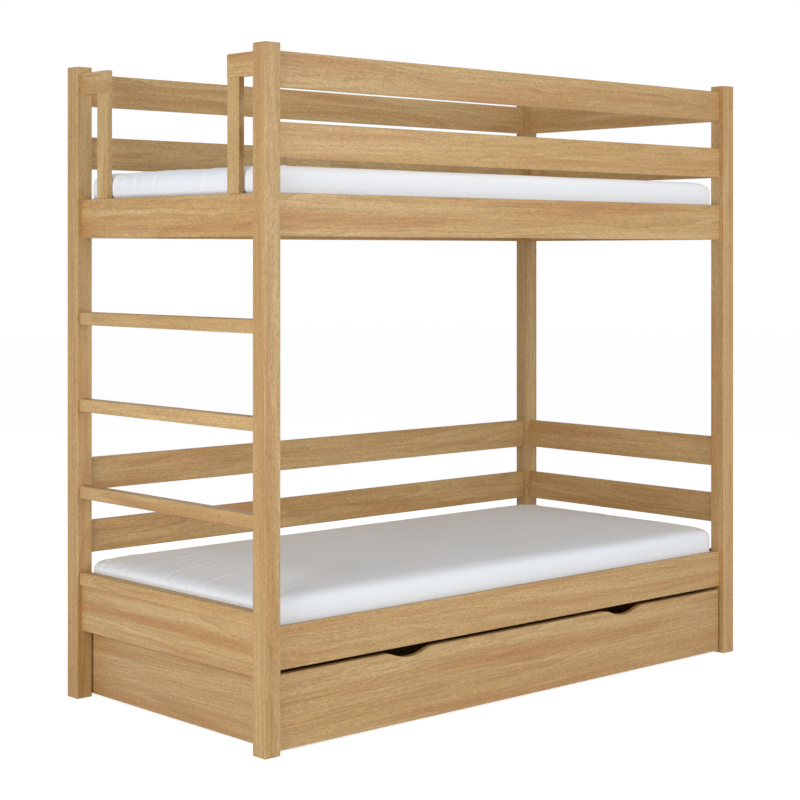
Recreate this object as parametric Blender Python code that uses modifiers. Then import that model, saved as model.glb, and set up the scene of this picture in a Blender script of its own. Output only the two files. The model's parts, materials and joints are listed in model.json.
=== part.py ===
# Children's bunk bed with one full-width drawer on castors under the lower bunk.
# Metres, +Z up. The origin is on the floor under the middle of the bed.
# +X runs along the bed, away from the ladder end, and the drawer opens towards -Y.

import math

import bmesh
import bpy
from mathutils import Matrix, Vector

# Posts
LENGTH = 1.880
WIDTH = 0.880
POST_SIDE = 0.050
POST_EDGE = 0.003
POST_ABOVE_GUARD = 0.018

# Boards between the posts
BOARD_THICKNESS = 0.018
BOARD_EDGE = 0.002
SIDE_HEIGHT = 0.108
GUARD_HEIGHT = 0.090
GUARD_GAP = 0.086
LOWER_SIDE_BOTTOM = 0.208
UPPER_SIDE_BOTTOM = 1.284
LOWER_END_DROP = 0.018

# Ladder end
RUNG_COUNT = 4
RUNG_HEIGHT = 0.036
RUNG_DEPTH = 0.032
ENTRY_RAIL_HEIGHT = 0.060
STILE_WIDTH = 0.048
STILE_FROM_POST = 0.0745

# Slat bases
SLAT_COUNT = 14
SLAT_WIDTH = 0.070
SLAT_THICKNESS = 0.018
SLAT_END_PLAY = 0.002
LEDGER_WIDTH = 0.030
LEDGER_HEIGHT = 0.030
STRAP_WIDTH = 0.025
STRAP_THICKNESS = 0.002
STRAP_SUNK = 0.0008
STRAP_FROM_LEDGER = 0.020

# Mattresses
MATTRESS_THICKNESS = 0.122
MATTRESS_BELOW_BOARD_TOP = 0.050
MATTRESS_PLAY_AT_RUNG = 0.001
MATTRESS_PLAY_AT_SIDE = 0.006
MATTRESS_CROWN = 0.003
MATTRESS_CORNER = 0.036
MATTRESS_CORNER_GROWTH = 0.75
MATTRESS_ROLL_ACROSS = 0.044
MATTRESS_ROLL_DOWN = 0.024
MATTRESS_ROLL_SQUARENESS = 2.4
MATTRESS_UNDER_ROLL = 0.022
MATTRESS_ROLL_STEPS = 8
MATTRESS_UNDER_STEPS = 3
MATTRESS_CORNER_SEGMENTS = 8

# Drawer
DRAWER_SIDE_PLAY = 0.005
DRAWER_TOP_PLAY = 0.011
DRAWER_FLOOR_PLAY = 0.008
DRAWER_BACK_PLAY = 0.003
DRAWER_PANEL = 0.018
DRAWER_BOTTOM_THICKNESS = 0.010
DRAWER_BOTTOM_HEIGHT = 0.046
GROOVE_DEPTH = 0.008
CLEAT_WIDTH = 0.045
CLEAT_HEIGHT = 0.022
SCOOP_SPACING = 0.868
SCOOP_WIDTH = 0.180
SCOOP_DEPTH = 0.018
SCOOP_END_RADIUS = 0.080
SCOOP_STEPS = 6

# Castors
WHEEL_RADIUS = 0.020
WHEEL_WIDTH = 0.018
WHEEL_EDGE = 0.003
WHEEL_TREAD = 0.004
WHEEL_WEB = 0.007
HUB_RADIUS = 0.008
AXLE_RADIUS = 0.003
AXLE_HEAD_RADIUS = 0.005
AXLE_HEAD_HEIGHT = 0.002
AXLE_PLAY = 0.0002
WHEEL_SIDE_PLAY = 0.0015
HOUSING_WALL = 0.0025
HOUSING_FLANGE = 0.013
HOUSING_LENGTH = 0.034
HOUSING_LEG_BELOW_AXLE = 0.009
HOUSING_TOE_RADIUS = 0.005
SCREW_HOLE_RADIUS = 0.002
CASTOR_FROM_SIDE = 0.034
CASTOR_FROM_FRONT = 0.060
TURNED_STEPS = 24

# Fits between pieces that touch
JOINT_GAP = 0.0003
CUT_OVERRUN = 0.010
WELD_DISTANCE = 0.00005

# Levels and planes worked out from the sizes above
post_x = (LENGTH - POST_SIDE) / 2
post_y = (WIDTH - POST_SIDE) / 2
inner_x = LENGTH / 2 - POST_SIDE
inner_y = WIDTH / 2 - POST_SIDE
board_inner_y = post_y - BOARD_THICKNESS / 2
lower_side_top = LOWER_SIDE_BOTTOM + SIDE_HEIGHT
upper_side_top = UPPER_SIDE_BOTTOM + SIDE_HEIGHT
rail_pitch = GUARD_GAP + GUARD_HEIGHT
guard_top = upper_side_top + 2 * rail_pitch
post_height = guard_top + POST_ABOVE_GUARD
front_plane = -(post_y + BOARD_THICKNESS / 2)

for leftover in list(bpy.data.objects):
    bpy.data.objects.remove(leftover)
bed = bpy.data.collections.new("bunk_bed")
cutters = bpy.data.collections.new("cutters")
for collection in (bed, cutters):
    bpy.context.scene.collection.children.link(collection)


def make_material(name, colour, roughness, metallic=0.0):
    """A plain finish in linear colour."""
    material = bpy.data.materials.new(name)
    material.use_nodes = True
    shader = material.node_tree.nodes["Principled BSDF"]
    shader.inputs["Base Color"].default_value = (*colour, 1.0)
    shader.inputs["Roughness"].default_value = roughness
    shader.inputs["Metallic"].default_value = metallic
    material.diffuse_color = (*colour, 1.0)
    return material


def add_object(name, mesh, centre, material=None, parent=None):
    """Puts a mesh in the bed's collection with its origin at centre, a point in world space."""
    obj = bpy.data.objects.new(name, mesh)
    bed.objects.link(obj)
    if material:
        mesh.materials.append(material)
    obj.parent = parent
    obj.location = Vector(centre) - (parent.location if parent else Vector())
    return obj


def as_helper(obj):
    """Moves an object among the cutters, where it shapes others and isn't a piece itself."""
    bed.objects.unlink(obj)
    cutters.objects.link(obj)
    obj.hide_render = True
    obj.display_type = "WIRE"
    return obj


def combine(obj, other, operation):
    """Cuts another object out of obj, or joins it on, while both stay editable."""
    modifier = obj.modifiers.new(operation.lower(), "BOOLEAN")
    modifier.operation = operation
    modifier.solver = "EXACT"
    modifier.object = other


def block_mesh(name, size, edge=0.0, along=None):
    """A box centred on its origin. Edges along the given axis are rounded, or all without one."""
    shape = bmesh.new()
    bmesh.ops.create_cube(shape, size=1.0)
    bmesh.ops.scale(shape, vec=size, verts=shape.verts)
    if edge:
        picked = list(shape.edges)
        if along is not None:
            picked = [e for e in picked if abs((e.verts[0].co - e.verts[1].co)[along]) > edge]
        bmesh.ops.bevel(
            shape, geom=picked, offset=edge, segments=3, profile=0.5, affect="EDGES", material=-1
        )
    mesh = bpy.data.meshes.new(name)
    shape.to_mesh(mesh)
    shape.free()
    mesh.shade_smooth()
    mesh.set_sharp_from_angle(angle=math.radians(35))
    return mesh


def add_block(name, low, high, material, edge=0.0, along=None, parent=None):
    """A box from its lowest corner to its highest one."""
    low, high = Vector(low), Vector(high)
    mesh = block_mesh(name, high - low, edge, along)
    return add_object(name, mesh, (low + high) / 2, material, parent)


def add_long_board(name, y, bottom, height):
    """A board along the bed, between two posts."""
    reach = inner_x - JOINT_GAP
    half = BOARD_THICKNESS / 2
    return add_block(
        name, (-reach, y - half, bottom), (reach, y + half, bottom + height), oak, BOARD_EDGE, along=0
    )


def add_end_board(name, x, bottom, height):
    """A board across the bed, between two posts."""
    reach = inner_y - JOINT_GAP
    half = BOARD_THICKNESS / 2
    return add_block(
        name, (x - half, -reach, bottom), (x + half, reach, bottom + height), oak, BOARD_EDGE, along=1
    )


def add_posts():
    half = POST_SIDE / 2
    for end, x in (("left", -post_x), ("right", post_x)):
        for side, y in (("front", -post_y), ("back", post_y)):
            add_block(
                f"post_{side}_{end}",
                (x - half, y - half, 0),
                (x + half, y + half, post_height),
                oak,
                POST_EDGE,
            )


def add_sides():
    """Boards along the bed: a side board for each bunk, the upper guards, and the lower back rails."""
    for side, y in (("front", -post_y), ("back", post_y)):
        add_long_board(f"{side}_side_lower", y, LOWER_SIDE_BOTTOM, SIDE_HEIGHT)
        add_long_board(f"{side}_side_upper", y, UPPER_SIDE_BOTTOM, SIDE_HEIGHT)
        add_long_board(f"{side}_guard_low", y, upper_side_top + GUARD_GAP, GUARD_HEIGHT)
        add_long_board(f"{side}_guard_top", y, guard_top - GUARD_HEIGHT, GUARD_HEIGHT)
    add_long_board("back_rail_low", post_y, lower_side_top + GUARD_GAP, GUARD_HEIGHT)
    add_long_board("back_rail_top", post_y, lower_side_top + rail_pitch + GUARD_GAP, GUARD_HEIGHT)


def add_ends():
    """Boards across the bed. The lower end boards reach down past the drawer's top edge."""
    for end, x in (("left", -post_x), ("right", post_x)):
        add_end_board(
            f"{end}_end_lower", x, LOWER_SIDE_BOTTOM - LOWER_END_DROP, SIDE_HEIGHT + LOWER_END_DROP
        )
        add_end_board(f"{end}_end_upper", x, UPPER_SIDE_BOTTOM, SIDE_HEIGHT)
    add_end_board("right_guard_low", post_x, upper_side_top + GUARD_GAP, GUARD_HEIGHT)
    add_end_board("right_guard_top", post_x, guard_top - GUARD_HEIGHT, GUARD_HEIGHT)
    add_end_board("right_rail_low", post_x, lower_side_top + GUARD_GAP, GUARD_HEIGHT)
    add_end_board("right_rail_top", post_x, lower_side_top + rail_pitch + GUARD_GAP, GUARD_HEIGHT)


def add_ladder():
    """Rungs between the left posts, evenly spaced from the lower end board up to the upper one."""
    pitch = (UPPER_SIDE_BOTTOM - lower_side_top) / RUNG_COUNT
    reach = inner_y - JOINT_GAP
    half = RUNG_DEPTH / 2
    for index in range(RUNG_COUNT):
        bottom = lower_side_top + index * pitch + JOINT_GAP
        add_block(
            f"rung_{index + 1}",
            (-post_x - half, -reach, bottom),
            (-post_x + half, reach, bottom + RUNG_HEIGHT),
            oak,
            POST_EDGE,
            along=1,
        )


def add_entry():
    """The two narrow guards that flank the way in at the top of the ladder."""
    half = BOARD_THICKNESS / 2
    opening = inner_y - STILE_FROM_POST - STILE_WIDTH
    rail_bottom = guard_top - ENTRY_RAIL_HEIGHT
    for side, sign in (("front", -1), ("back", 1)):
        stile = sorted((sign * opening, sign * (opening + STILE_WIDTH)))
        rail = sorted((sign * opening, sign * (inner_y - JOINT_GAP)))
        add_block(
            f"entry_stile_{side}",
            (-post_x - half, stile[0], upper_side_top + JOINT_GAP),
            (-post_x + half, stile[1], rail_bottom - JOINT_GAP),
            oak,
            BOARD_EDGE,
            along=2,
        )
        add_block(
            f"entry_rail_{side}",
            (-post_x - half, rail[0], rail_bottom),
            (-post_x + half, rail[1], guard_top),
            oak,
            BOARD_EDGE,
            along=1,
        )


def add_slat_base(bunk, side_top):
    """Ledgers on the side boards, with a roll of slats on two straps lying on them."""
    slat_top = side_top - MATTRESS_BELOW_BOARD_TOP
    slat_bottom = slat_top - SLAT_THICKNESS
    ledger_top = slat_bottom - JOINT_GAP
    ledger_outer = board_inner_y - JOINT_GAP
    ledger_inner = ledger_outer - LEDGER_WIDTH
    reach = inner_x - JOINT_GAP
    for side, sign in (("front", -1), ("back", 1)):
        across = sorted((sign * ledger_inner, sign * ledger_outer))
        add_block(
            f"ledger_{bunk}_{side}",
            (-reach, across[0], ledger_top - LEDGER_HEIGHT),
            (reach, across[1], ledger_top),
            pine,
            BOARD_EDGE,
            along=0,
        )

    slat_reach = board_inner_y - SLAT_END_PLAY
    run = 2 * (inner_x - SLAT_END_PLAY) - SLAT_WIDTH
    pitch = run / (SLAT_COUNT - 1)
    strap_y = ledger_inner - STRAP_FROM_LEDGER
    strap_low = slat_bottom + STRAP_SUNK - STRAP_THICKNESS
    strap_reach = run / 2
    straps = [
        add_block(
            name,
            (-strap_reach, y - STRAP_WIDTH / 2, strap_low),
            (strap_reach, y + STRAP_WIDTH / 2, strap_low + STRAP_THICKNESS),
            pine,
        )
        for name, y in ((f"slats_{bunk}", -strap_y), (f"strap_{bunk}", strap_y))
    ]
    base, other_strap = straps
    combine(base, as_helper(other_strap), "UNION")
    for index in range(SLAT_COUNT):
        x = -run / 2 + index * pitch
        slat = add_block(
            f"slat_{bunk}_{index + 1}",
            (x - SLAT_WIDTH / 2, -slat_reach, slat_bottom),
            (x + SLAT_WIDTH / 2, slat_reach, slat_top),
            pine,
        )
        combine(base, as_helper(slat), "UNION")
    return slat_top


def mattress_levels(half):
    """Outlines of a mattress from the bottom up, as (height, inset, corner radius)."""
    rim = half.z - MATTRESS_CROWN
    levels = []
    for step in range(MATTRESS_UNDER_STEPS + 1):
        angle = math.pi / 2 * step / MATTRESS_UNDER_STEPS
        inset = MATTRESS_UNDER_ROLL * (1 - math.sin(angle))
        height = MATTRESS_UNDER_ROLL * (1 - math.cos(angle)) - half.z
        levels.append((height, inset))
    power = 2 / MATTRESS_ROLL_SQUARENESS
    for step in range(MATTRESS_ROLL_STEPS + 1):
        angle = math.pi / 2 * step / MATTRESS_ROLL_STEPS
        inset = MATTRESS_ROLL_ACROSS * (1 - max(math.cos(angle), 0.0) ** power)
        height = rim - MATTRESS_ROLL_DOWN * (1 - math.sin(angle) ** power)
        levels.append((height, inset))
    flat = half.y - MATTRESS_ROLL_ACROSS
    levels.append((rim + MATTRESS_CROWN * 0.75, MATTRESS_ROLL_ACROSS + flat * 0.5))
    levels.append((half.z, MATTRESS_ROLL_ACROSS + flat * 0.8))
    return [
        (height, inset, min(MATTRESS_CORNER + MATTRESS_CORNER_GROWTH * inset, half.y - inset))
        for height, inset in levels
    ]


def add_mattress(bunk, slat_top):
    """A mattress in its fitted sheet: a loft with a wide soft top roll and corners clear of the posts."""
    half = Vector(
        (
            post_x - RUNG_DEPTH / 2 - MATTRESS_PLAY_AT_RUNG,
            board_inner_y - MATTRESS_PLAY_AT_SIDE,
            MATTRESS_THICKNESS / 2,
        )
    )
    shape = bmesh.new()
    segments = 4 * MATTRESS_CORNER_SEGMENTS
    half_step = Matrix.Rotation(math.pi / segments, 3, "Z")
    rings = []
    for height, inset, radius in mattress_levels(half):
        ring = bmesh.ops.create_circle(shape, segments=segments, radius=radius)["verts"]
        bmesh.ops.rotate(shape, cent=(0, 0, 0), matrix=half_step, verts=ring)
        for vert in ring:
            vert.co.x += math.copysign(half.x - inset - radius, vert.co.x)
            vert.co.y += math.copysign(half.y - inset - radius, vert.co.y)
            vert.co.z = height
        rings.append(list({edge for vert in ring for edge in vert.link_edges}))
    for lower, upper in zip(rings, rings[1:]):
        bmesh.ops.bridge_loops(shape, edges=lower + upper)
    for ring in (rings[0], rings[-1]):
        bmesh.ops.contextual_create(shape, geom=ring)
    bmesh.ops.recalc_face_normals(shape, faces=shape.faces)
    mesh = bpy.data.meshes.new(f"mattress_{bunk}")
    shape.to_mesh(mesh)
    shape.free()
    mesh.shade_smooth()
    centre = (0, 0, slat_top + JOINT_GAP + half.z)
    add_object(f"mattress_{bunk}", mesh, centre, sheet)


def scoop_points():
    """The dip of one finger scoop in a level edge, left to right: each end eases into the bottom arc."""
    half = SCOOP_WIDTH / 2
    turn = 2 * math.atan2(SCOOP_DEPTH, half)
    bottom_radius = half / math.sin(turn) - SCOOP_END_RADIUS
    left_end = []
    bottom = []
    for step in range(SCOOP_STEPS):
        angle = turn * step / SCOOP_STEPS
        x = SCOOP_END_RADIUS * math.sin(angle) - half
        left_end.append((x, SCOOP_END_RADIUS * (math.cos(angle) - 1)))
    for step in range(-SCOOP_STEPS, SCOOP_STEPS + 1):
        angle = turn * step / SCOOP_STEPS
        z = bottom_radius * (1 - math.cos(angle)) - SCOOP_DEPTH
        bottom.append((bottom_radius * math.sin(angle), z))
    right_end = [(-x, z) for x, z in reversed(left_end)]
    return [*left_end, *bottom, *right_end]


def scooped_board_mesh(name, half_width, half_height, thickness, edge):
    """A board standing on edge, with two finger scoops in its top and its whole rim rounded."""
    outline = [(half_width, half_height), (half_width, -half_height), (-half_width, -half_height)]
    outline.append((-half_width, half_height))
    for place in (-SCOOP_SPACING / 2, SCOOP_SPACING / 2):
        outline += [(place + x, half_height + z) for x, z in scoop_points()]
    curve = bpy.data.curves.new(name, "CURVE")
    curve.dimensions = "2D"
    curve.fill_mode = "BOTH"
    curve.extrude = thickness / 2 - edge
    curve.bevel_depth = edge
    curve.bevel_resolution = 1
    curve.offset = -edge
    line = curve.splines.new("POLY")
    line.points.add(len(outline) - 1)
    for point, (x, z) in zip(line.points, outline):
        point.co = (x, z, 0, 1)
    line.use_cyclic_u = True
    drawn = bpy.data.objects.new(name, curve)
    bed.objects.link(drawn)
    graph = bpy.context.evaluated_depsgraph_get()
    mesh = bpy.data.meshes.new_from_object(drawn.evaluated_get(graph))
    bpy.data.objects.remove(drawn)
    shape = bmesh.new()
    shape.from_mesh(mesh)
    bmesh.ops.remove_doubles(shape, verts=shape.verts, dist=WELD_DISTANCE)
    upright = Matrix.Rotation(math.pi / 2, 3, "X")
    bmesh.ops.rotate(shape, cent=(0, 0, 0), matrix=upright, verts=shape.verts)
    bmesh.ops.recalc_face_normals(shape, faces=shape.faces)
    shape.to_mesh(mesh)
    shape.free()
    return mesh


def add_drawer():
    """The drawer box: front with two finger scoops, sides, back, and a bottom held in grooves."""
    half_x = inner_x - DRAWER_SIDE_PLAY
    back_plane = board_inner_y - DRAWER_BACK_PLAY
    front_inner = front_plane + DRAWER_PANEL
    back_inner = back_plane - DRAWER_PANEL
    top = LOWER_SIDE_BOTTOM - DRAWER_TOP_PLAY
    side_inner = half_x - DRAWER_PANEL
    bottom_top = DRAWER_BOTTOM_HEIGHT + DRAWER_BOTTOM_THICKNESS

    slide = bpy.data.objects.new("drawer_slide", None)
    slide.location = (0, front_plane, DRAWER_FLOOR_PLAY)
    bed.objects.link(slide)

    half_height = (top - DRAWER_FLOOR_PLAY) / 2
    board = scooped_board_mesh("drawer_front", half_x, half_height, DRAWER_PANEL, BOARD_EDGE)
    centre = (0, front_plane + DRAWER_PANEL / 2, DRAWER_FLOOR_PLAY + half_height)
    front = add_object("drawer_front", board, centre, oak, slide)

    panels = [front]
    for end, sign in (("left", -1), ("right", 1)):
        across = sorted((sign * side_inner, sign * half_x))
        panels.append(
            add_block(
                f"drawer_side_{end}",
                (across[0], front_inner + JOINT_GAP, DRAWER_FLOOR_PLAY),
                (across[1], back_plane, top),
                oak,
                BOARD_EDGE,
                along=1,
                parent=slide,
            )
        )
    panels.append(
        add_block(
            "drawer_back",
            (-side_inner + JOINT_GAP, back_inner, DRAWER_FLOOR_PLAY),
            (side_inner - JOINT_GAP, back_plane, top),
            oak,
            BOARD_EDGE,
            along=0,
            parent=slide,
        )
    )

    low = Vector((-side_inner - GROOVE_DEPTH, front_inner - GROOVE_DEPTH, DRAWER_BOTTOM_HEIGHT))
    high = Vector((side_inner + GROOVE_DEPTH, back_inner + GROOVE_DEPTH, bottom_top))
    gap = Vector((JOINT_GAP, JOINT_GAP, JOINT_GAP))
    add_block("drawer_bottom", low + gap, high - gap, plywood, parent=slide)
    groove = as_helper(add_block("groove_cutter", low, high, plywood))
    for panel in panels:
        combine(panel, groove, "DIFFERENCE")

    add_block(
        "drawer_cleat",
        (-CLEAT_WIDTH / 2, front_inner + JOINT_GAP, DRAWER_BOTTOM_HEIGHT - CLEAT_HEIGHT),
        (CLEAT_WIDTH / 2, back_inner - JOINT_GAP, DRAWER_BOTTOM_HEIGHT),
        pine,
        BOARD_EDGE,
        along=1,
        parent=slide,
    )

    castor_x = side_inner - CASTOR_FROM_SIDE
    for end, x in (("left", -castor_x), ("right", castor_x)):
        add_castor(f"front_{end}", x, front_inner + CASTOR_FROM_FRONT, slide)
        add_castor(f"back_{end}", x, back_inner - CASTOR_FROM_FRONT, slide)


def add_turned(name, profile, centre, material=None, parent=None, closed=False, steps=TURNED_STEPS):
    """A profile of (radius, place along the axis), from the high end to the low one, turned about it."""
    mesh = bpy.data.meshes.new(name)
    shape = bmesh.new()
    verts = [shape.verts.new((radius, 0, along)) for radius, along in profile]
    for start, end in zip(verts, verts[1:] + verts[:1] if closed else verts[1:]):
        shape.edges.new((start, end))
    shape.to_mesh(mesh)
    shape.free()
    turned = add_object(name, mesh, centre, material, parent)
    screw = turned.modifiers.new("turn", "SCREW")
    screw.steps = steps
    screw.render_steps = steps
    screw.use_merge_vertices = True
    screw.merge_threshold = WELD_DISTANCE
    return turned


def housing_mesh(name, size):
    """A castor housing before it is hollowed: a level top plate, and legs narrowing to a round toe."""
    shape = bmesh.new()
    bmesh.ops.create_cube(shape, size=1.0)
    bmesh.ops.scale(shape, vec=size, verts=shape.verts)
    low = -size.z / 2 + WELD_DISTANCE
    bmesh.ops.bisect_plane(
        shape,
        geom=[*shape.verts, *shape.edges, *shape.faces],
        dist=WELD_DISTANCE,
        plane_co=(0, 0, size.z / 2 - HOUSING_WALL),
        plane_no=(0, 0, 1),
    )
    for vert in shape.verts:
        if vert.co.z < low:
            vert.co.y = math.copysign(HOUSING_LEG_BELOW_AXLE, vert.co.y)
    toe = [
        e
        for e in shape.edges
        if all(v.co.z < low for v in e.verts) and e.verts[0].co.y * e.verts[1].co.y > 0
    ]
    bmesh.ops.bevel(
        shape, geom=toe, offset=HOUSING_TOE_RADIUS, segments=3, profile=0.5, affect="EDGES", material=-1
    )
    mesh = bpy.data.meshes.new(name)
    shape.to_mesh(mesh)
    shape.free()
    return mesh


def add_castor(corner, x, y, drawer):
    """One castor: a wheel on a pinned axle between the cheeks of a housing under the drawer bottom."""
    axle_z = WHEEL_RADIUS
    bore = AXLE_RADIUS + AXLE_PLAY
    cheek_inner = WHEEL_WIDTH / 2 + WHEEL_SIDE_PLAY
    cheek_outer = cheek_inner + HOUSING_WALL
    flange = cheek_outer + HOUSING_FLANGE
    top = DRAWER_BOTTOM_HEIGHT
    web_bottom = top - HOUSING_WALL
    leg_bottom = axle_z - HOUSING_LEG_BELOW_AXLE
    half_length = HOUSING_LENGTH / 2
    across = (0, math.pi / 2, 0)

    size = Vector((flange * 2, HOUSING_LENGTH, top - leg_bottom))
    body = housing_mesh(f"castor_housing_{corner}", size)
    centre = (x, y, (top + leg_bottom) / 2)
    housing = add_object(f"castor_housing_{corner}", body, centre, dark_plastic, drawer)
    hollows = (
        (x - flange - CUT_OVERRUN, x - cheek_outer),
        (x - cheek_inner, x + cheek_inner),
        (x + cheek_outer, x + flange + CUT_OVERRUN),
    )
    for start, end in hollows:
        cutter = add_block(
            "housing_cutter",
            (start, y - half_length - CUT_OVERRUN, leg_bottom - CUT_OVERRUN),
            (end, y + half_length + CUT_OVERRUN, web_bottom),
            dark_plastic,
        )
        combine(housing, as_helper(cutter), "DIFFERENCE")
    reach = cheek_outer + CUT_OVERRUN
    rod = [(0, reach), (bore, reach), (bore, -reach), (0, -reach)]
    hole = as_helper(add_turned("axle_hole_cutter", rod, (x, y, axle_z)))
    hole.rotation_euler = across
    combine(housing, hole, "DIFFERENCE")
    drill = HOUSING_WALL + CUT_OVERRUN
    rod = [(0, drill), (SCREW_HOLE_RADIUS, drill), (SCREW_HOLE_RADIUS, -drill), (0, -drill)]
    for sign in (-1, 1):
        place = (x + sign * (cheek_outer + HOUSING_FLANGE / 2), y, top)
        hole = as_helper(add_turned("screw_hole_cutter", rod, place, steps=TURNED_STEPS // 2))
        combine(housing, hole, "DIFFERENCE")

    half = WHEEL_WIDTH / 2
    web = WHEEL_WEB / 2
    rim = WHEEL_RADIUS - WHEEL_TREAD
    upper = [
        (bore, half),
        (HUB_RADIUS, half),
        (HUB_RADIUS, web),
        (rim, web),
        (rim, half),
        (WHEEL_RADIUS - WHEEL_EDGE, half),
        (WHEEL_RADIUS, half - WHEEL_EDGE),
    ]
    profile = upper + [(radius, -along) for radius, along in reversed(upper)]
    centre = (x, y, axle_z)
    wheel = add_turned(f"castor_wheel_{corner}", profile, centre, grey_plastic, drawer, closed=True)
    wheel.rotation_euler = across

    head = cheek_outer + JOINT_GAP
    upper = [
        (0, head + AXLE_HEAD_HEIGHT),
        (AXLE_HEAD_RADIUS, head + AXLE_HEAD_HEIGHT),
        (AXLE_HEAD_RADIUS, head),
        (AXLE_RADIUS, head),
    ]
    profile = upper + [(radius, -along) for radius, along in reversed(upper)]
    axle = add_turned(f"castor_axle_{corner}", profile, centre, steel, drawer)
    axle.rotation_euler = across


oak = make_material("lacquered_oak", (0.51, 0.33, 0.15), 0.45)
pine = make_material("planed_pine", (0.72, 0.55, 0.34), 0.6)
plywood = make_material("birch_plywood", (0.70, 0.56, 0.38), 0.55)
sheet = make_material("cotton_sheet", (0.80, 0.81, 0.83), 0.9)
dark_plastic = make_material("nylon_housing", (0.04, 0.04, 0.045), 0.5)
grey_plastic = make_material("grey_castor_wheel", (0.25, 0.25, 0.26), 0.55)
steel = make_material("zinc_plated_steel", (0.62, 0.62, 0.63), 0.35, 1.0)

add_posts()
add_sides()
add_ends()
add_ladder()
add_entry()
for bunk_name, board_top in (("lower", lower_side_top), ("upper", upper_side_top)):
    add_mattress(bunk_name, add_slat_base(bunk_name, board_top))
add_drawer()
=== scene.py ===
import json
import math

import bmesh
import bpy
import numpy as np
from mathutils import Euler, Matrix, Vector


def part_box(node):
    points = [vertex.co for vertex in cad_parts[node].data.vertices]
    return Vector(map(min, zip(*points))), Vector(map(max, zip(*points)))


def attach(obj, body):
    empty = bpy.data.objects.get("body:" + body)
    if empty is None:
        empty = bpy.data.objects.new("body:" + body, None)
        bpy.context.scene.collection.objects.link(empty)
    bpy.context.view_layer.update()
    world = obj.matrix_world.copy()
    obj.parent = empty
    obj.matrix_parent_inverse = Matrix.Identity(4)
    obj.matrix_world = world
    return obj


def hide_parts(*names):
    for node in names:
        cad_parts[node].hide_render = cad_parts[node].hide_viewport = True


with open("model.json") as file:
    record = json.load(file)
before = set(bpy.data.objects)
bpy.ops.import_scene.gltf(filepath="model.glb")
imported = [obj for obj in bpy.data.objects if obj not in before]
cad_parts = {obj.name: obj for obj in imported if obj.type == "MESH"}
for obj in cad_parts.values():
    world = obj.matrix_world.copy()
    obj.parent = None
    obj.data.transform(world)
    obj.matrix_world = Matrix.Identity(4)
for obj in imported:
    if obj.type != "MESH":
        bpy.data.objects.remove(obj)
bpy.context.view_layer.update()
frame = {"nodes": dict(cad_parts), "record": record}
scene = bpy.context.scene
mm = 0.001  # values named Mm are in millimetres, other lengths in metres
sharpDeg = 35  # where a surface turns by more than this, its edge is sharp


def linearColour(hexText):
    # sRGB hex to the linear colour that shaders take
    parts = [int(hexText[i:i + 2], 16) / 255 for i in (1, 3, 5)]
    return tuple([c / 12.92 if c <= 0.04045 else ((c + 0.055) / 1.055) ** 2.4 for c in parts] + [1.0])


def addNode(tree, kind, inputs=None, **settings):
    # one node: settings are its properties, inputs are values, nodes or sockets by name or number
    node = tree.nodes.new(kind)
    for key, value in settings.items():
        setattr(node, key, value)
    for key, value in (inputs or {}).items():
        named = [s for s in node.inputs if s.name == key and s.enabled]
        socket = named[0] if named else node.inputs[key]
        if isinstance(value, bpy.types.Node):
            value = next(s for s in value.outputs if s.enabled)
        if isinstance(value, bpy.types.NodeSocket):
            tree.links.new(value, socket)
        else:
            socket.default_value = value
    return node


def newMaterial(name, **shaderValues):
    # shaderValues are named for the shader's inputs, with _ for a space
    material = bpy.data.materials.new(name)
    material.use_nodes = True
    tree = material.node_tree
    shader = tree.nodes["Principled BSDF"]
    for key, value in shaderValues.items():
        shader.inputs[key.replace("_", " ")].default_value = value
    return material, tree, shader


def finishMesh(name, shape, material, smoothAngle=sharpDeg):
    # bmesh to an object at the origin, smooth but for its sharp edges
    bmesh.ops.recalc_face_normals(shape, faces=shape.faces)
    mesh = bpy.data.meshes.new(name)
    shape.to_mesh(mesh)
    shape.free()
    mesh.shade_smooth()
    if smoothAngle:
        mesh.set_sharp_from_angle(angle=math.radians(smoothAngle))
    mesh.materials.append(material)
    piece = bpy.data.objects.new(name, mesh)
    scene.collection.objects.link(piece)
    return piece


def inOrder(parts):
    # each part once, in the order given, which a set would lose from run to run
    return list(dict.fromkeys(parts))


def addBar(shape, low, high, edge, segments=2):
    # a box between two corners with all its edges rounded, added to a bmesh
    size = Vector(high) - Vector(low)
    made = bmesh.ops.create_cube(shape, size=1.0)["verts"]
    bmesh.ops.scale(shape, vec=size, verts=made)
    bmesh.ops.translate(shape, vec=(Vector(low) + Vector(high)) / 2, verts=made)
    edges = inOrder(e for v in made for e in v.link_edges)
    bmesh.ops.bevel(
        shape, geom=edges, offset=edge, segments=segments, profile=0.5, affect="EDGES", material=-1
    )


def dress(node, material):
    # a CAD node keeps its mesh and takes this finish
    slots = frame["nodes"][node].data.materials
    slots.clear()
    slots.append(material)


# Camera: a long lens at chest height, before the bed's front left corner
camera = {
    "place": (-3.8117, -3.9817, 1.2405),
    "turnedDeg": -41.578,
    "lens": 83.69,
    "shift": (0.0654, -0.1828),
    "sensor": 36,
}
cameraData = bpy.data.cameras.new("camera")
cameraData.sensor_width = camera["sensor"]
cameraData.lens = camera["lens"]
cameraData.shift_x, cameraData.shift_y = camera["shift"]
cameraObject = bpy.data.objects.new("camera", cameraData)
cameraObject.location = camera["place"]
cameraObject.rotation_euler = (math.radians(90), 0, math.radians(camera["turnedDeg"]))
scene.collection.objects.link(cameraObject)
scene.camera = cameraObject
scene.view_settings.view_transform = "Standard"
print("camera placed")


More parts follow.
